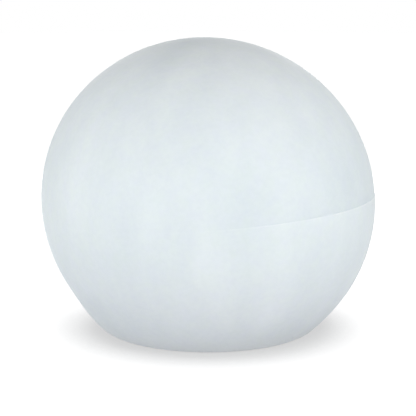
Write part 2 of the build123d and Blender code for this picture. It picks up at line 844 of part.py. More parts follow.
wire_level = led_board_top + lead_radius
with BuildPart() as led_leads:
    for x in (-lead_spacing / 2, lead_spacing / 2):
        add(lead(
            (x, led_connector_y - connector_width / 2, lead_level),
            (x, led_lead_y, lead_level),
            (x, led_lead_y, wire_level),
            (x, led_lead_end_y, wire_level),
        ))
finish(led_leads.part, "led_leads")

# ---------------------------------------------------------------- inner dome

with BuildPart() as dome_seal:
    with BuildSketch(Plane.XY.offset(rim_level)):
        Circle(rim_radius - (housing_wall - dome_seal_width) / 2 - moulded_clearance)
        Circle(rim_inner_radius + (housing_wall - dome_seal_width) / 2 + moulded_clearance,
               mode=Mode.SUBTRACT)
    extrude(amount=-dome_seal_depth)
finish(dome_seal.part, "dome_seal")

# Spherical cap on a flat flange
with BuildPart() as diffuser_dome:
    cap_radius = (dome_radius**2 + dome_height**2) / (2 * dome_height)
    cap_centre = dome_top - cap_radius
    inner_cap_radius = cap_radius - dome_wall
    inner_foot = sqrt(inner_cap_radius**2 - (rim_level - cap_centre) ** 2)
    with BuildSketch(Plane.XZ):
        with BuildLine():
            Polyline((inner_foot, rim_level), (rim_radius, rim_level),
                     (rim_radius, dome_flange_top), (dome_radius, dome_flange_top))
            ThreePointArc((dome_radius, dome_flange_top),
                          (cap_radius * sqrt(0.5), cap_centre + cap_radius * sqrt(0.5)),
                          (0, dome_top))
            Line((0, dome_top), (0, dome_top - dome_wall))
            ThreePointArc((0, dome_top - dome_wall),
                          (inner_cap_radius * sqrt(0.5), cap_centre + inner_cap_radius * sqrt(0.5)),
                          (inner_foot, rim_level))
        make_face()
    revolve(axis=Axis.Z)
finish(diffuser_dome.part, "diffuser_dome")

# Clamping ring, screwed down over the rim and the dome's flange
with BuildPart() as dome_ring:
    ring_top = dome_flange_top + ring_lip_thickness
    with BuildSketch(Plane.XZ):
        with BuildLine():
            Polyline(
                (ring_inner_radius, rim_level - ring_skirt),
                (ring_outer_radius, rim_level - ring_skirt),
                (ring_outer_radius, ring_top),
                (dome_radius + loose_clearance, ring_top),
                (dome_radius + loose_clearance, dome_flange_top),
                (ring_inner_radius, dome_flange_top),
                close=True,
            )
        make_face()
    revolve(axis=Axis.Z)
    with BuildSketch(Plane.XY.offset(rim_level - ring_skirt)):
        with PolarLocations(ring_outer_radius + ring_grip_radius - ring_grip_depth, ring_grip_count):
            Circle(ring_grip_radius)
    extrude(amount=ring_top - rim_level + ring_skirt, mode=Mode.SUBTRACT)
finish(dome_ring.part, "dome_ring")

# ---------------------------------------------------------------- files

os.makedirs("parts", exist_ok=True)
for name, part in finished.items():
    export_step(part, f"parts/{name}.step")
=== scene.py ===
import json
from math import acos, asin, atan2, cos, pi, radians, sin, sqrt, tan

import bpy
import numpy as np
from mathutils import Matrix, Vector


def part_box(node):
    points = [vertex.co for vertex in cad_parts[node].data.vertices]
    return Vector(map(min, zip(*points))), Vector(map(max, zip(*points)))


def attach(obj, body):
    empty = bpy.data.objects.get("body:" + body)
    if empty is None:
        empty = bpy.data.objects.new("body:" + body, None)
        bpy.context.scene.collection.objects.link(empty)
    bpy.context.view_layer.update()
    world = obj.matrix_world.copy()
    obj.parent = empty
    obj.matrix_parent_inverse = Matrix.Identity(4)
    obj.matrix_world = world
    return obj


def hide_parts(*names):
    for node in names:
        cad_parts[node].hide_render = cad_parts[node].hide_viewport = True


# A cordless garden globe light in metres, with the origin on the ground in the middle of the
# foot. The globe is made here as one moulding, out of round and with the step and flash of its
# parting line as a real one has. The small pieces keep their solids and get their finishes.

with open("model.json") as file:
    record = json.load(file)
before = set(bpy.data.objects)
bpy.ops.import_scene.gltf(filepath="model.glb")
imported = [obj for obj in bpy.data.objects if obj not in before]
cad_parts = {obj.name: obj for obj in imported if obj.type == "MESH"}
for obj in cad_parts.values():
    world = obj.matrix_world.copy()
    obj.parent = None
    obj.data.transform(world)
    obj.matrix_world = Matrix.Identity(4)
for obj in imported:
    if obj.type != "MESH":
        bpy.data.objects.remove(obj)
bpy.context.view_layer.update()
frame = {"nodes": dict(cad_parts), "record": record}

MM = 0.001

# ---------------------------------------------------------------- camera, as the photograph saw it

frame_pixels = 416
view_elevation = radians(9.2)
view_distance = 1.75
view_reach = 200
outline_radius_px = 164.7
outline_centre_px = (208.3, 199.7)

# ---------------------------------------------------------------- sizes of the globe

# The mould's radius, and the mean radius of the moulding, which shrank in it
globe_radius = 250 * MM
mean_radius = 246.7 * MM
globe_wall = 3.5 * MM
centre_height = 195 * MM
foot_edge_radius = 30 * MM
recess_depth = 16 * MM
mouth_radius = 8 * MM
corner_radius = 4 * MM

# The module's flange, and the recess and the holes that are sized from it
flange_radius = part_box("module_housing")[1].x
recess_roof_radius = flange_radius + 6.5 * MM
recess_radius = recess_roof_radius + 2.5 * MM
screw_circle_radius = flange_radius - 9 * MM
module_hole_radius = screw_circle_radius - 10 * MM
boss_count = 6
boss_radius = 8 * MM
boss_rounding = 4 * MM
boss_bottom = recess_depth + globe_wall / 2
bore_radius = 4.55 * MM
bore_bottom = recess_depth / 2
bore_top = recess_depth + 10 * MM
boss_top = bore_top + 3.5 * MM

# Parting line of the mould: it leans up to +X, and the lower half stands proud there. Its flash
# rises and falls in waves and beats round the globe, and trimming left a trace of it at -X. The
# reach is how far the painted highlight below the line and the painted shade above it are drawn
# each side
parting_lean = radians(3.7)
parting_drop = 3 * MM
flash_height = 0.1 * MM
flash_width = 0.9 * MM
flash_unevenness = 0.5
flash_waves = 23
flash_beats = 7
step_height = 0.5 * MM
step_width = 1.5 * MM
step_fade = 45 * MM
trim_trace = 0.04
trim_middle = 0.1
trim_swing = 1.05
seam_reach = 3 * MM

# The grid's rows lean with the parting line near it, and the lean fades above and below
lean_kept = radians(15)
lean_fade_above = radians(60)
lean_fade_below = radians(33)

# How far the moulding shrank out of round, the direction of its long axis in the XZ plane, and
# the heights between which that sets in above the foot
shrink_share = 0.017
shrink_turn = radians(-20.5)
shrink_start = 32 * MM
shrink_full = 72 * MM

# Clouds in the wall, paler where their strength is positive: azimuth from the camera's side towards
# +X, latitude, half width and half height in degrees, and strength. Those on the camera's side are
# partly the wall's own mottling and partly painted light and shade, such as the darker cap to the
# upper left and the darker lower left flank
clouds_and_shade_seen = [
    (-30, 68, 18, 16, -1.8),
    (0, 52, 8, 15, -0.6),
    (-2, 26, 7, 12, -0.5),
    (12, 5, 6, 14, -0.8),
    (-33, 14, 7, 18, -0.6),
    (-12, 2, 12, 14, 0.25),
    (22, 18, 12, 16, 0.5),
    (-48, 8, 10, 16, 0.4),
    (2, -12, 12, 8, 0.9),
    (24, -12, 10, 8, 0.7),
    (-20, 0, 13, 12, -0.3),
    (13, -27, 5, 12, -0.6),
    (24, -30, 6, 12, 0.6),
    (2, -32, 6, 12, 0.3),
    (-48, -36, 18, 9, -0.9),
    (8, -28, 28, 11, 1.1),
    (18, -3, 14, 7, 0.3),
    (12, -50, 55, 8, 1.7),
    (16, 12, 10, 14, -0.45),
    (30, 50, 42, 14, 0.7),
    (-45, 33, 28, 14, 0.5),
    (50, 33, 24, 10, 0.4),
    (-66, -18, 12, 11, -0.9),
    (-82, -36, 20, 14, -1.1),
    (-112, 66, 30, 12, -1.0),
    (130, 74, 40, 8, -0.8),
    (50, 12, 14, 12, -1.0),
    (48, -22, 14, 10, -0.3),
]
clouds_unseen = [
    (110, 30, 14, 24, 0.5),
    (140, -5, 10, 22, -0.6),
    (165, 22, 12, 20, 0.5),
    (190, -12, 14, 16, 0.5),
    (205, 40, 9, 20, -0.7),
    (232, 5, 12, 22, -0.5),
    (250, 28, 14, 18, 0.5),
    (95, -20, 12, 16, -0.5),
    (275, -15, 12, 14, 0.5),
]

# Painted shade just above the parting line and painted light just below it, strongest towards +X,
# as a step in the wall's paleness: its strength, the share below, and how far it reaches above and
# below
jump_strength = 1.1
jump_share_below = 0.8
jump_reach_above = 28 * MM
jump_reach_below = 16 * MM

# Grid of the globe: columns round the axis, rows above and below the parting line and along the
# inside, and steps on each run of the foot's profile, outside and inside
columns = 240
rows_above = 52
rows_below = 30
rows_inside = 70
foot_steps_outside = 10
foot_steps_inside = 8
taper_steps = 4
boss_columns = 48
boss_steps = 7
sharp_angle = radians(40)


# ---------------------------------------------------------------- surfaces

def ease(share):
    """3 t squared minus 2 t cubed, with t held between 0 and 1: a smooth step."""
    t = np.clip(share, 0, 1)
    return t * t * (3 - 2 * t)


def corner_arc(before, corner, after, radius, steps):
    """Arc that touches both sides of a corner. Its centre lies on the corner's bisector at the
    radius over the sine of the half angle, and it runs between its two touching points."""
    before, corner, after = (np.array(p, float) for p in (before, corner, after))
    a = (before - corner) / np.linalg.norm(before - corner)
    b = (after - corner) / np.linalg.norm(after - corner)
    half = acos(np.clip(a @ b, -1, 1)) / 2
    bisector = (a + b) / np.linalg.norm(a + b)
    centre = corner + bisector * radius / sin(half)
    first = corner + a * radius / tan(half) - centre
    last = corner + b * radius / tan(half) - centre
    start = atan2(first[1], first[0])
    turn = (atan2(last[1], last[0]) - start + pi) % (2 * pi) - pi
    angle = start + np.linspace(0, turn, steps)
    return centre + radius * np.column_stack([np.cos(angle), np.sin(angle)])


def foot_profile(inset, steps):
    """Half section of the foot from the sphere's lower edge to the module's hole, as (radius,
    height) points: the round edge turns about a centre one edge radius inside both the sphere
    and the foot, then come the flat foot, the round mouth, the tapering wall, and the roof."""
    reach = globe_radius - foot_edge_radius
    drop = centre_height - foot_edge_radius
    edge_middle = np.array([sqrt(reach ** 2 - drop ** 2), foot_edge_radius])
    angle = np.linspace(-asin(drop / reach), -pi / 2, steps)
    around_edge = np.column_stack([np.cos(angle), np.sin(angle)])
    edge = edge_middle + (foot_edge_radius - inset) * around_edge
    mouth = (recess_radius + inset, inset)
    corner = (recess_roof_radius + inset, recess_depth + inset)
    hole = (module_hole_radius, recess_depth + inset)
    mouth_arc = corner_arc(edge[-1], mouth, corner, mouth_radius - inset, steps)
    roof_arc = corner_arc(mouth, corner, hole, corner_radius + inset, steps)
    runs = [
        edge,
        np.linspace(edge[-1], mouth_arc[0], steps)[1:-1],
        mouth_arc,
        np.linspace(mouth_arc[-1], roof_arc[0], taper_steps)[1:-1],
        roof_arc,
        np.linspace(roof_arc[-1], hole, steps)[1:],
    ]
    return np.vstack(runs)


def parting_latitude(azimuth):
    """Latitude of the parting plane on the sphere: the leaning plane through a point a little
    under the centre meets it where sin(lat) - tan(lean) cos(az) cos(lat) = -drop / radius."""
    slope = np.tan(parting_lean) * np.cos(azimuth)
    return np.arctan(slope) - np.arcsin(parting_drop / globe_radius / np.sqrt(1 + slope ** 2))


def parting_rows():
    """Angles above and below the parting line, packed closely round it and then evenly, from
    the pole down to where the foot's round edge starts."""
    lower_end = -asin((centre_height - foot_edge_radius) / (globe_radius - foot_edge_radius))
    near = np.array([0.15, 0.3, 0.5, 0.75, 1.05, 1.5, 2.1, 3, 4.3, 6.2]) * MM / globe_radius
    above = np.linspace(pi / 2, near[-1], rows_above)[:-1]
    below = np.linspace(-near[-1], lower_end, rows_below)[1:]
    return np.concatenate([above, near[::-1], [0], -near, below])


def seam_strength(azimuth):
    """How much of the parting line was left by trimming, round the globe: all of it towards +X, a
    trace towards -X, eased between by the cosine of the azimuth. It also weights the painted light
    and shade along the line."""
    return trim_trace + (1 - trim_trace) * ease(trim_middle + trim_swing * np.cos(azimuth))


def seam_offset(distance, azimuth):
    """Height of the skin over the sphere near the parting line, by the distance above it: a low
    bell of flash, uneven by the product of two sines of the azimuth, and a step down to the
    upper half that is deepest towards +X and fades away with height."""
    strength = seam_strength(azimuth)
    beats = np.sin(flash_beats * azimuth + 1)
    uneven = 1 + flash_unevenness * np.sin(flash_waves * azimuth) * beats
    flash = flash_height * strength * uneven * np.exp(-(distance / flash_width) ** 2)
    step = step_height * strength * ease(distance / step_width) * (1 - ease(distance / step_fade))
    return flash - step


def clouds_and_painted_shade(points):
    """Paleness of the wall, about -3 to 3: the sum of soft ovals, each a bell in azimuth and
    latitude, partly the wall's own mottling and partly painted light and shade, and a step across
    the parting line, painted shade above it and painted light below it, that fades away from it."""
    away = points - np.array([0, 0, centre_height])
    azimuth = np.degrees(np.arctan2(away[:, 0], -away[:, 1]))
    latitude = np.degrees(np.arcsin(away[:, 2] / np.maximum(np.linalg.norm(away, axis=1), 1e-9)))
    total = np.zeros(len(points))
    for middle, level, wide, tall, strength in clouds_and_shade_seen + clouds_unseen:
        turn = (azimuth - middle + 180) % 360 - 180
        narrowing = np.cos(np.radians(latitude)) / cos(radians(level))
        across, up = turn * narrowing / wide, (latitude - level) / tall
        total += strength * np.exp(-across ** 2 - up ** 2)
    # Painted shade above the parting line and painted light below it, weighted by the seam's
    # strength
    above = (away[:, 2] + parting_drop) * cos(parting_lean) - away[:, 0] * sin(parting_lean)
    share = seam_strength(np.arctan2(away[:, 1], away[:, 0]))
    painted_seam_shade = np.where(above > 0, -np.exp(-above / jump_reach_above),
                    jump_share_below * np.exp(above / jump_reach_below))
    return total + jump_strength * share * painted_seam_shade


def out_of_round(points):
    """Shrinks and stretches the moulding about the globe's centre by a share of cos(2 angle)
    from its long axis in the XZ plane. The foot and all that it holds stay as they are."""
    away = points - np.array([0, 0, centre_height])
    along = away[..., 0] * cos(shrink_turn) + away[..., 2] * sin(shrink_turn)
    across = away[..., 2] * cos(shrink_turn) - away[..., 0] * sin(shrink_turn)
    uneven = (along ** 2 - across ** 2) / np.maximum((away ** 2).sum(-1), 1e-12)
    growth = mean_radius / globe_radius - 1 + shrink_share * uneven
    height = points[..., 2]
    aside = np.hypot(points[..., 0], points[..., 1]) - recess_radius
    share = np.maximum(ease((height - shrink_start) / (shrink_full - shrink_start)),
                       ease(height / shrink_full) * ease(aside / shrink_full))
    return points + away * (growth * share)[..., None]


def turned_surface(name, rows, first_pole=None, last_pole=None):
    """A mesh from a grid of points: rows along a profile, columns round the axis. The columns
    close on themselves, and a pole is one point with a fan."""
    count, around = rows.shape[:2]
    points = [rows.reshape(-1, 3)]
    i, j = np.meshgrid(np.arange(count - 1), np.arange(around), indexing="ij")
    after, beside = (i + 1) * around, (j + 1) % around
    quads = np.stack([i * around + j, after + j, after + beside, i * around + beside], -1)
    faces = quads.reshape(-1, 4).tolist()
    column = np.arange(around)
    following = (column + 1) % around
    tip = count * around
    last = (count - 1) * around
    for pole, near, far in ((first_pole, column, following),
                            (last_pole, last + following, last + column)):
        if pole is None:
            continue
        points.append(np.array([pole], float))
        faces += np.column_stack([np.full(around, tip), near, far]).tolist()
        tip += 1
    mesh = bpy.data.meshes.new(name)
    mesh.from_pydata(np.vstack(points).tolist(), [], faces)
    mesh.validate()
    piece = bpy.data.objects.new(name, mesh)
    bpy.context.scene.collection.objects.link(piece)
    return piece


def turned(profile, middle=(0, 0), around=columns):
    """Points of a profile of (radius, height) carried round an upright axis."""
    angle = np.arange(around) * 2 * pi / around
    radius = profile[:, :1]
    x = middle[0] + radius * np.cos(angle)
    y = middle[1] + radius * np.sin(angle)
    return np.stack([x, y, np.broadcast_to(profile[:, 1:], x.shape)], -1)


def sphere_rows(radius, angles, offset=None):
    """Rows of the sphere by angle above the parting line. Near the line a row leans with it, and
    towards the pole and the foot the lean fades out."""
    azimuth = np.arange(columns) * 2 * pi / columns
    s = angles[:, None]
    fade = ((1 - ease((s - lean_kept) / lean_fade_above))
            * (1 - ease((-s - lean_kept) / lean_fade_below)))
    latitude = s + parting_latitude(azimuth)[None, :] * fade
    height = radius if offset is None else radius + offset(s * radius, azimuth[None, :])
    flat = height * np.cos(latitude)
    return np.stack([flat * np.cos(azimuth), flat * np.sin(azimuth),
                     centre_height + height * np.sin(latitude)], -1)


def apply_modifiers(piece):
    """Makes the piece's modifiers part of its mesh."""
    graph = bpy.context.evaluated_depsgraph_get()
    mesh = bpy.data.meshes.new_from_object(piece.evaluated_get(graph))
    piece.modifiers.clear()
    piece.data = mesh


def globe_skin():
    """The whole moulding as one closed skin: outside from the pole to the hole's edge, then back
    along the inside, one wall thickness away. Bosses are joined on and bored afterwards."""
    outer = sphere_rows(globe_radius, parting_rows()[1:], seam_offset)
    outer_foot = turned(foot_profile(0, foot_steps_outside))
    inner_foot = turned(foot_profile(globe_wall, foot_steps_inside))
    inner_angles = np.linspace(pi / 2, parting_rows()[-1], rows_inside)[1:-1]
    inner = sphere_rows(globe_radius - globe_wall, inner_angles)
    rows = np.concatenate([outer[:-1], outer_foot, inner_foot[::-1], inner[::-1]])
    top = [0, 0, centre_height + globe_radius]
    inner_top = [0, 0, centre_height + globe_radius - globe_wall]
    rows = out_of_round(rows)
    poles = out_of_round(np.array([top, inner_top]))
    skin = turned_surface("moulded_globe", rows, poles[0], poles[1])

    angles = np.arange(boss_count) * 2 * pi / boss_count
    places = screw_circle_radius * np.column_stack([np.cos(angles), np.sin(angles)])
    rounding = np.linspace(0, pi / 2, boss_steps)
    boss_edge = np.column_stack([boss_radius - boss_rounding + boss_rounding * np.cos(rounding),
                                 boss_top - boss_rounding + boss_rounding * np.sin(rounding)])
    boss_profile = np.vstack([[boss_radius, boss_bottom], boss_edge])
    bore_profile = np.array([[bore_radius, bore_bottom], [bore_radius, bore_top]])
    tools = []
    for number, place in enumerate(places):
        for profile, operation in ((boss_profile, "UNION"), (bore_profile, "DIFFERENCE")):
            rows = turned(profile, place, boss_columns)[::-1]
            tool = turned_surface("tool", rows, [*place, profile[-1][1]], [*place, profile[0][1]])
            cut = skin.modifiers.new(operation.lower() + str(number), "BOOLEAN")
            cut.operation = operation
            cut.solver = "EXACT"
            cut.object = tool
            tools.append(tool)
    apply_modifiers(skin)
    for tool in tools:
        bpy.data.objects.remove(tool)
    skin.data.shade_smooth()
    skin.data.set_sharp_from_angle(angle=sharp_angle)
    points = np.zeros(len(skin.data.vertices) * 3)
    skin.data.vertices.foreach_get("co", points)
    points = points.reshape(-1, 3)
    azimuth = np.arctan2(points[:, 1], points[:, 0])
    # The clouds attribute carries painted light and shade as well as the wall's own mottling
    patterns = {"clouds_and_painted_shade": clouds_and_painted_shade(points), "seam_strength": seam_strength(azimuth)}
    for name, values in patterns.items():
        skin.data.attributes.new(name, "FLOAT", "POINT").data.foreach_set("value", values)
    return skin


# ---------------------------------------------------------------- materials

def linear(code):
    """An sRGB hex colour as linear red, green, blue and alpha."""
    values = [int(code[i:i + 2], 16) / 255 for i in (1, 3, 5)]
    return [v / 12.92 if v <= 0.04045 else ((v + 0.055) / 1.055) ** 2.4 for v in values] + [1]


def add(tree, kind, settings=(), links=()):
    """Adds a node, sets its options and input values, and links its inputs."""
    node = tree.nodes.new(kind)
    for key, value in dict(settings).items():
        if isinstance(key, int) or key in node.inputs:
            node.inputs[key].default_value = value
        else:
            setattr(node, key, value)
    for key, source in dict(links).items():
        tree.links.new(source, node.inputs[key])
    return node


def blank(name):
    """A material with one Principled surface: its tree, the shader and the object's coordinates."""
    material = bpy.data.materials.new(name)
    material.use_nodes = True
    tree = material.node_tree
    tree.nodes.clear()
    shader = add(tree, "ShaderNodeBsdfPrincipled")
    add(tree, "ShaderNodeOutputMaterial", {}, {"Surface": shader.outputs[0]})
    place = add(tree, "ShaderNodeTexCoord").outputs["Object"]
    return material, tree, shader, place


def colour_stops(ramp, stops):
    """Gives a colour ramp its stops, each a position and an sRGB hex colour, from low to high."""
    (low, first), *between, (high, last) = stops
    elements = ramp.color_ramp.elements
    elements[0].position, elements[1].position = low, high
    elements[0].color, elements[1].color = linear(first), linear(last)
    for position, colour in between:
        elements.new(position).color = linear(colour)


def polyethylene():
    """Natural polyethylene, rotationally moulded: satin and milky, with light soaking into it and
    faint upright clouds where the wall is thicker. Its tint also carries painted light and shade,
    in the placed clouds on the camera's side and along the parting line. The mould's blasted skin
    gives it fine grain."""
    material, tree, shader, place = blank("moulded_polyethylene")
    for socket, value in (("IOR", 1.51), ("Subsurface Weight", 0.25), ("Subsurface Scale", 8 * MM)):
        shader.inputs[socket].default_value = value
    shader.inputs["Subsurface Radius"].default_value = (0.9, 1.0, 1.0)
    # Uneven wall and painted light and shade: the placed clouds, which carry painted light and
    # shade as well as the wall's mottling, whose -3 to 3 becomes a paleness, and softer streaks 36
    # mm wide and 110 mm tall
    stretched = add(tree, "ShaderNodeMapping", {"Scale": (1 / 36 / MM, 1 / 36 / MM, 1 / 110 / MM)},
                    {"Vector": place})
    streaks = add(tree, "ShaderNodeTexNoise", {"Scale": 1, "Detail": 1.5, "Roughness": 0.45},
                  {"Vector": stretched.outputs[0]})
    # This attribute paints light and shade into the tint along with the wall's mottling
    wall = add(tree, "ShaderNodeAttribute", {"attribute_name": "clouds_and_painted_shade"})
    clouds = add(tree, "ShaderNodeMapRange",
                 {"From Min": -3, "From Max": 3, "To Min": -0.375, "To Max": 0.975},
                 {"Value": wall.outputs["Fac"]})
    cloudy = add(tree, "ShaderNodeMath", {"operation": "MULTIPLY_ADD", 1: 0.4},
                 {0: streaks.outputs["Fac"], 2: clouds.outputs[0]})
    # Specks about 7 mm wide where the powder melted unevenly, some pale and some dull
    powder = add(tree, "ShaderNodeTexNoise", {"Scale": 1 / 7 / MM, "Detail": 2, "Roughness": 0.6},
                 {"Vector": place})
    specks = add(tree, "ShaderNodeMapRange",
                 {"From Min": 0.3, "From Max": 0.7, "To Min": -0.07, "To Max": 0.07},
                 {"Value": powder.outputs["Fac"]})
    paleness = add(tree, "ShaderNodeMath", {"operation": "ADD"},
                   {0: cloudy.outputs[0], 1: specks.outputs[0]})
    tint = add(tree, "ShaderNodeValToRGB", {}, {"Fac": paleness.outputs[0]})
    colour_stops(tint, [(0, "#D9E2E7"), (1, "#EFF6F9")])
    # Along the parting plane: a painted highlight just below the line and painted shade just above
    # it, as the step's ledge catches the light and hides it, strongest towards +X. The grey #BCBCBC
    # leaves the colour as it is, and noise breaks the line into strokes
    upright = add(tree, "ShaderNodeVectorMath",
                  {"operation": "DOT_PRODUCT", 1: (-sin(parting_lean), 0, cos(parting_lean))},
                  {0: place})
    level = (centre_height - parting_drop) * cos(parting_lean)
    above = add(tree, "ShaderNodeMapRange",
                {"From Min": level - seam_reach, "From Max": level + seam_reach},
                {"Value": upright.outputs["Value"]})
    # This ramp paints a highlight below the parting plane and shade above it
    line = add(tree, "ShaderNodeValToRGB", {}, {"Fac": above.outputs[0]})
    colour_stops(line, [(0.1, "#BCBCBC"), (0.36, "#E4E4E4"), (0.5, "#BCBCBC"), (0.58, "#8C8C8C"),
                        (0.9, "#BCBCBC")])
    seam = add(tree, "ShaderNodeAttribute", {"attribute_name": "seam_strength"})
    stroke_noise = add(tree, "ShaderNodeTexNoise", {"Scale": 1 / 30 / MM, "Detail": 3}, {"Vector": place})
    strokes = add(tree, "ShaderNodeMapRange", {"From Min": 0.35, "From Max": 0.65},
                  {"Value": stroke_noise.outputs["Fac"]})
    seam_paint_share = add(tree, "ShaderNodeMath", {"operation": "MULTIPLY"},
                  {0: seam.outputs["Fac"], 1: strokes.outputs[0]})
    # Painted highlight and shade along the parting line, laid over the tint
    painted_seam = add(tree, "ShaderNodeMix", {"data_type": "RGBA", "blend_type": "SOFT_LIGHT"},
                  {0: seam_paint_share.outputs[0], 6: tint.outputs[0], 7: line.outputs[0]})
    # The melt's tint by height: faintly violet at the foot, greenish in the middle, warm on top
    height = add(tree, "ShaderNodeSeparateXYZ", {}, {0: place})
    rise = add(tree, "ShaderNodeMapRange",
               {"From Min": 0, "From Max": centre_height + globe_radius},
               {"Value": height.outputs["Z"]})
    melt = add(tree, "ShaderNodeValToRGB", {}, {"Fac": rise.outputs[0]})
    colour_stops(melt, [(0, "#FEFDFF"), (0.16, "#FDFDFF"), (0.35, "#FDFFFF"), (0.55, "#FDFFFF"),
                        (0.8, "#FEFFFF"), (0.95, "#FFFEFD")])
    melted = add(tree, "ShaderNodeMix", {"data_type": "RGBA", "blend_type": "MULTIPLY", 0: 1},
                 {6: painted_seam.outputs[2], 7: melt.outputs[0]})
    # The resin's own tint drifts from greenish to bluish over about 20 mm
    drift = add(tree, "ShaderNodeTexNoise", {"Scale": 1 / 20 / MM, "Detail": 3, "Roughness": 0.6},
                {"Vector": place})
    hue = add(tree, "ShaderNodeValToRGB", {}, {"Fac": drift.outputs["Fac"]})
    colour_stops(hue, [(0.35, "#FEFFFD"), (0.65, "#FDFDFF")])
    drifted = add(tree, "ShaderNodeMix", {"data_type": "RGBA", "blend_type": "MULTIPLY", 0: 1},
                  {6: melted.outputs[2], 7: hue.outputs[0]})
    tree.links.new(drifted.outputs[2], shader.inputs["Base Color"])
    # Satin gloss that wanders over patches of 45 mm
    gloss = add(tree, "ShaderNodeTexNoise", {"Scale": 1 / 45 / MM, "Detail": 2}, {"Vector": place})
    satin = add(tree, "ShaderNodeMapRange", {"To Min": 0.48, "To Max": 0.58},
                {"Value": gloss.outputs["Fac"]})
    tree.links.new(satin.outputs[0], shader.inputs["Roughness"])
    # Soft ripples of 16 mm, and the mould's grain. The real grain is 0.3 mm and too fine to show,
    # so it is drawn at 2.2 mm
    ripple = add(tree, "ShaderNodeTexNoise", {"Scale": 1 / 16 / MM, "Detail": 1}, {"Vector": place})
    grain = add(tree, "ShaderNodeTexNoise", {"Scale": 1 / 2.2 / MM, "Detail": 1}, {"Vector": place})
    rippled = add(tree, "ShaderNodeBump", {"Strength": 0.7, "Distance": 0.5 * MM},
                  {"Height": ripple.outputs["Fac"]})
    grained = add(tree, "ShaderNodeBump", {"Strength": 0.6, "Distance": 0.12 * MM},
                  {"Height": grain.outputs["Fac"], "Normal": rippled.outputs[0]})
    tree.links.new(grained.outputs[0], shader.inputs["Normal"])
    return material


def mottled(name, low, high, grain, roughness, spread, bump, **even):
    """A solid-coloured material whose colour, gloss and bump vary with one noise. The grain and
    the bump's depth are in millimetres, and even values go straight to the shader."""
    material, tree, shader, place = blank(name)
    for socket, value in even.items():
        shader.inputs[socket.replace("_", " ")].default_value = value
    noise = add(tree, "ShaderNodeTexNoise", {"Scale": 1 / grain / MM, "Detail": 2},
                {"Vector": place})
    tint = add(tree, "ShaderNodeValToRGB", {}, {"Fac": noise.outputs["Fac"]})
    colour_stops(tint, [(0.35, low), (0.65, high)])
    tree.links.new(tint.outputs[0], shader.inputs["Base Color"])
    gloss = add(tree, "ShaderNodeMapRange",
                {"To Min": roughness - spread, "To Max": roughness + spread},
                {"Value": noise.outputs["Fac"]})
    tree.links.new(gloss.outputs[0], shader.inputs["Roughness"])
    relief = add(tree, "ShaderNodeBump", {"Strength": 0.5, "Distance": bump * MM},
                 {"Height": noise.outputs["Fac"]})
    tree.links.new(relief.outputs[0], shader.inputs["Normal"])
    return material


finishes = {
    # Machined brass, slightly dulled
    "brass_insert": mottled("machined_brass", "#B08D4A", "#D2B26C", 1.2, 0.32, 0.08, 0.01,
                            Metallic=1),
    # Moulded nitrile rubber, matt with a light bloom
    "black_rubber": mottled("nitrile_rubber", "#161617", "#232324", 0.8, 0.72, 0.08, 0.03,
                            IOR=1.52),
    # Moulded silicone, soft grey
    "grey_silicone": mottled("grey_silicone_rubber", "#5A5D61", "#6B6E72", 1.5, 0.55, 0.06, 0.02,
                             IOR=1.43),
    # ABS from a spark-eroded mould: fine matt grain
    "housing_plastic": mottled("textured_abs", "#CACDCD", "#D6D8D8", 0.7, 0.5, 0.06, 0.04,
                               IOR=1.53),
    # Glass-filled nylon with flow marks
    "cradle_plastic": mottled("glass_filled_nylon", "#191A1B", "#26272A", 2.5, 0.5, 0.1, 0.03,
                              IOR=1.53),
    # Acetal, waxy and satin
    "button_plastic": mottled("satin_acetal", "#3A3E43", "#454A4F", 0.9, 0.38, 0.06, 0.02,
                              IOR=1.48),
    # Cold-formed stainless steel
    "stainless_steel": mottled("stainless_steel", "#B4B4B1", "#C8C8C5", 0.9, 0.28, 0.1, 0.01,
                               Metallic=1),
    # Rolled nickel-plated strip
    "nickel": mottled("nickel_plate", "#A8A49A", "#BDB9AF", 0.8, 0.3, 0.08, 0.01, Metallic=1),
    # Solder mask over glass-epoxy: the weave shows through
    "board_green": mottled("green_solder_mask", "#0E4A2B", "#16603A", 1.1, 0.35, 0.06, 0.02,
                           IOR=1.55),
    "board_white": mottled("white_solder_mask", "#E2E2DF", "#EFEFEC", 1.1, 0.35, 0.06, 0.02,
                           IOR=1.55),
    # Transfer-moulded epoxy
    "component_black": mottled("moulded_epoxy", "#131315", "#1F1F22", 0.5, 0.6, 0.08, 0.02,
                               IOR=1.55),
    "switch_black": mottled("black_polyamide", "#0F0F11", "#19191B", 0.6, 0.45, 0.08, 0.02,
                            IOR=1.53),
    # Polycarbonate light pipe and blasted dome
    "clear_polycarbonate": mottled("clear_polycarbonate", "#EDF3F4", "#F6FAFA", 6, 0.08, 0.03, 0.01,
                                   IOR=1.585, Transmission_Weight=1),
    "frosted_polycarbonate": mottled("frosted_polycarbonate", "#EEF1F1", "#F7F8F8", 0.9, 0.55,
                                     0.06, 0.03, IOR=1.585, Transmission_Weight=0.7),
    # Printed shrink sleeve on the cells
    "cell_sleeve": mottled("shrink_sleeve", "#1B4774", "#235488", 9, 0.25, 0.05, 0.03, IOR=1.54),
    "lead_red": mottled("pvc_lead_insulation", "#7A1411", "#8E1D18", 1.5, 0.4, 0.06, 0.02,
                        IOR=1.54),
    # Closed-cell foam: open pores on the cut faces
    "grey_foam": mottled("closed_cell_foam", "#2C2C2E", "#404043", 0.9, 0.85, 0.05, 0.2, IOR=1.5),
    "bare_aluminium": mottled("rolled_aluminium", "#C2C4C6", "#D2D4D6", 0.9, 0.35, 0.08, 0.01,
                              Metallic=1),
    # Phosphor in silicone over the emitters
    "led_package": mottled("phosphor_silicone", "#E8D27A", "#F0DE92", 1.2, 0.4, 0.05, 0.02,
                           IOR=1.45),
}
polyethylene_finish = polyethylene()

# ---------------------------------------------------------------- pieces

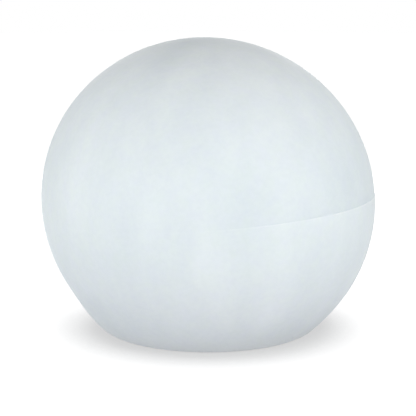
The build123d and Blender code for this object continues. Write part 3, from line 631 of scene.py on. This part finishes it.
globe = globe_skin()
globe.data.materials.clear()
globe.data.materials.append(polyethylene_finish)
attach(globe, "lamp")
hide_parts("globe_shell")

for row in frame["record"]["subparts"]:
    node = frame["nodes"][row["node"]]
    node.data.materials.clear()
    node.data.materials.append(finishes.get(row["material_slot"], polyethylene_finish))

# ---------------------------------------------------------------- floor, light and camera

# Radii of the floor's rings, from its opening under the foot outwards, and the radius from
# which it holds back more and more of the light that it lets up to the underside
floor_rings = (140 * MM, 0.4, 2, 40)
floor_columns = 96
floor_level = -0.2 * MM
clear_radius = 160 * MM
# The room's light that carries to the object, where 1 is white
room_light = 0.41
# The floor's shadow: how far it looks for what shuts out the room, the shares of open room at
# its darkest and where it ends, and the floor's own light there
shadow_reach = 0.2
closed_in, wide_open = 0.3, 0.66
shadow_lift, floor_lift = 0.53, 0.98


def background_rays(tree):
    """1 for rays that see the background as it is drawn: the camera's own, and those that it
    sees mirrored in metal or through clear plastic. 0 for the rays that only carry light."""
    path = add(tree, "ShaderNodeLightPath")
    mirrored = add(tree, "ShaderNodeMath", {"operation": "MAXIMUM"},
                   {0: path.outputs["Is Camera Ray"], 1: path.outputs["Is Glossy Ray"]})
    either = add(tree, "ShaderNodeMath", {"operation": "MAXIMUM"},
                 {0: mirrored.outputs[0], 1: path.outputs["Is Transmission Ray"]})
    return either.outputs[0]


def white_stage():
    """Matt white studio floor. It is seen lifted to white where it is open, and less where the
    object shuts out the room's light, so that the soft shadow round the foot stays. From below
    it is see-through, and close to the foot it lets light up to the underside."""
    material = bpy.data.materials.new("studio_floor")
    material.use_nodes = True
    tree = material.node_tree
    tree.nodes.clear()
    place = add(tree, "ShaderNodeTexCoord").outputs["Object"]
    away = add(tree, "ShaderNodeVectorMath", {"operation": "LENGTH"}, {0: place})
    solid = add(tree, "ShaderNodeMapRange",
                {"From Min": clear_radius, "From Max": 2 * clear_radius},
                {"Value": away.outputs["Value"]})
    clear = add(tree, "ShaderNodeBsdfTransparent")
    paper = add(tree, "ShaderNodeBsdfDiffuse", {"Color": linear("#E8E8E8")})
    bounce = add(tree, "ShaderNodeMixShader", {},
                 {0: solid.outputs[0], 1: clear.outputs[0], 2: paper.outputs[0]})
    open_room = add(tree, "ShaderNodeAmbientOcclusion", {"Distance": shadow_reach, "samples": 16})
    lift = add(tree, "ShaderNodeMapRange",
               {"From Min": closed_in, "From Max": wide_open,
                "To Min": shadow_lift, "To Max": floor_lift},
               {"Value": open_room.outputs["AO"]})
    glow = add(tree, "ShaderNodeEmission", {"Color": linear("#FFFFFF")},
               {"Strength": lift.outputs[0]})
    shaded = add(tree, "ShaderNodeBsdfDiffuse", {"Color": linear("#808080")})
    lifted = add(tree, "ShaderNodeAddShader", {}, {0: shaded.outputs[0], 1: glow.outputs[0]})
    seen = add(tree, "ShaderNodeMixShader", {},
               {0: background_rays(tree), 1: bounce.outputs[0], 2: lifted.outputs[0]})
    side = add(tree, "ShaderNodeNewGeometry")
    sided = add(tree, "ShaderNodeMixShader", {},
                {0: side.outputs["Backfacing"], 1: seen.outputs[0], 2: clear.outputs[0]})
    add(tree, "ShaderNodeOutputMaterial", {}, {"Surface": sided.outputs[0]})
    return material


def studio_room():
    """Even white room. Rays that only carry light meet it dimmer, so that the lamps shape the
    object."""
    world = bpy.data.worlds.new("studio")
    world.use_nodes = True
    tree = world.node_tree
    tree.nodes.clear()
    soft = add(tree, "ShaderNodeBackground", {"Color": linear("#FFFFFF"), "Strength": room_light})
    white = add(tree, "ShaderNodeBackground", {"Color": linear("#FFFFFF"), "Strength": 1})
    seen = add(tree, "ShaderNodeMixShader", {},
               {0: background_rays(tree), 1: soft.outputs[0], 2: white.outputs[0]})
    add(tree, "ShaderNodeOutputWorld", {}, {"Surface": seen.outputs[0]})
    return world


def soft_lamp(name, azimuth, elevation, distance, width, height, power):
    """A rectangular soft box that faces the globe's centre. Azimuth 0 is the camera's side and
    grows towards +X."""
    light = bpy.data.lights.new(name, "AREA")
    light.shape = "RECTANGLE"
    light.size = width
    light.size_y = height
    light.energy = power
    lamp = bpy.data.objects.new(name, light)
    a, e = radians(azimuth), radians(elevation)
    away = Vector((sin(a) * cos(e), -cos(a) * cos(e), sin(e)))
    lamp.location = Vector((0, 0, centre_height)) + away * distance
    lamp.rotation_euler = (-away).to_track_quat("-Z", "Y").to_euler()
    lamp.visible_camera = False
    bpy.context.scene.collection.objects.link(lamp)


floor_profile = np.array([[radius, floor_level] for radius in floor_rings])
floor = turned_surface("floor", turned(floor_profile, around=floor_columns))
floor.data.materials.append(white_stage())

bpy.context.scene.world = studio_room()

# Azimuth and elevation in degrees, distance, width and height in metres, and watts
soft_lamp("left_front_box", -35, -1, 1.7, 1.2, 0.6, 5.5)
soft_lamp("right_front_box", 35, -4, 1.7, 1.2, 0.6, 5.8)
soft_lamp("left_side_box", -78, 3, 1.6, 1.2, 0.6, 5.4)
soft_lamp("right_side_box", 78, 3, 1.6, 1.2, 0.6, 3.0)
soft_lamp("high_box", 18, 34, 2.0, 1.2, 1.0, 11.1)
soft_lamp("back_box", 180, 8, 1.8, 1.2, 0.8, 8.5)

camera_data = bpy.data.cameras.new("camera")
camera = bpy.data.objects.new("camera", camera_data)
bpy.context.scene.collection.objects.link(camera)
bpy.context.scene.camera = camera
# The outline's radius in pixels is the focal length in pixels times the tangent of the angle
# between the line to the globe's centre and the line that grazes the globe
focal_px = outline_radius_px * sqrt(view_distance ** 2 - mean_radius ** 2) / mean_radius
camera_data.lens = camera_data.sensor_width * focal_px / frame_pixels
toward_camera = Vector((0, -cos(view_elevation), sin(view_elevation)))
camera_up = Vector((0, sin(view_elevation), cos(view_elevation)))
# The camera aims beside the globe's centre by as far as the outline is off the frame's middle
metres_per_px = view_distance / focal_px
right_px = outline_centre_px[0] - frame_pixels / 2
down_px = outline_centre_px[1] - frame_pixels / 2
aim = (Vector((0, 0, centre_height)) - Vector((1, 0, 0)) * right_px * metres_per_px
       + camera_up * down_px * metres_per_px)
camera.location = aim + toward_camera * view_distance
camera.rotation_euler = (-toward_camera).to_track_quat("-Z", "Y").to_euler()
camera_data.clip_end = view_reach

bpy.context.scene.view_settings.view_transform = "Standard"
